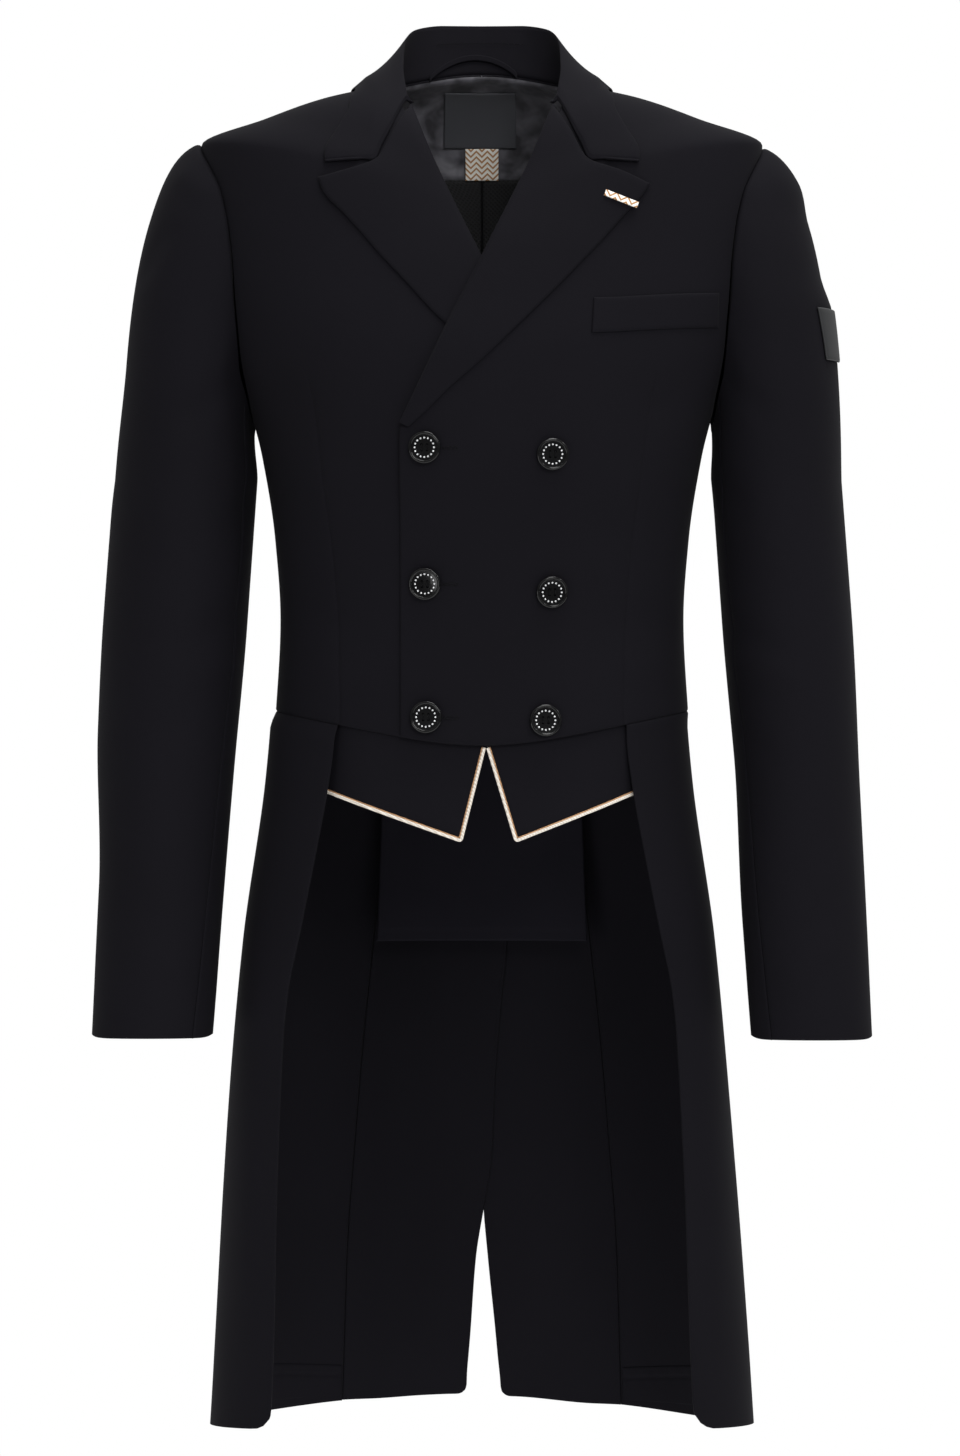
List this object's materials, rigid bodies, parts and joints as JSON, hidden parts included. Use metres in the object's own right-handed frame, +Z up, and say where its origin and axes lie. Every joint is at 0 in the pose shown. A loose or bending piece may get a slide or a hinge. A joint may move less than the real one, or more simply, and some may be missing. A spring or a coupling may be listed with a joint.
{
  "type": "dressage tailcoat",
  "caption": "Double-breasted dressage tailcoat with peaked lapels, cutaway front and long tails, filled out as worn and open at the neck, cuffs and hem.",
  "frame": {"origin": "the mount wearer_neck: the middle of the neck opening, at the height of the shoulder seams' neck ends, where the wearer's neck and shoulders carry the coat", "axes": "+Z up; the front faces -Y; +X is the wearer's left"},
  "size_m": [0.5858, 0.2828, 1.0687],
  "materials": {
    "cloth": "smooth, nearly black stretch cloth with a fine close weave and a soft sheen",
    "satin": "soft, slightly rumpled satin lining",
    "mesh": "black perforated mesh lining",
    "piping": "cream corded piping with a fine tan edge",
    "ribbon": "cream and tan herringbone twill tape",
    "button": "polished black resin",
    "badge": "dark grey matt patch, plain"
  },
  "bodies": {
    "root": {"front_over": "cloth", "front_under": "cloth", "side_left": "cloth", "side_right": "cloth", "back_left": "cloth", "back_right": "cloth", "skirt_left": "cloth", "skirt_right": "cloth", "topsleeve_left": "cloth", "topsleeve_right": "cloth", "undersleeve_left": "cloth", "undersleeve_right": "cloth", "collar": "cloth", "lapel_over": "cloth", "lapel_under": "cloth", "pocket_welt": "cloth", "vest_point_left": "cloth", "vest_point_right": "cloth", "back_flap": "cloth", "hanger_loop": "cloth", "neck_lining": "satin", "back_lining_left": "mesh", "back_lining_right": "mesh", "neck_label": "badge", "label_tape": "ribbon", "lapel_ribbon": "ribbon", "piping_left": "piping", "piping_right": "piping", "sleeve_badge": "badge", "button_1": "button", "button_2": "button", "button_3": "button", "button_4": "button", "button_5": "button", "button_6": "button"}
  },
  "joints": []
}
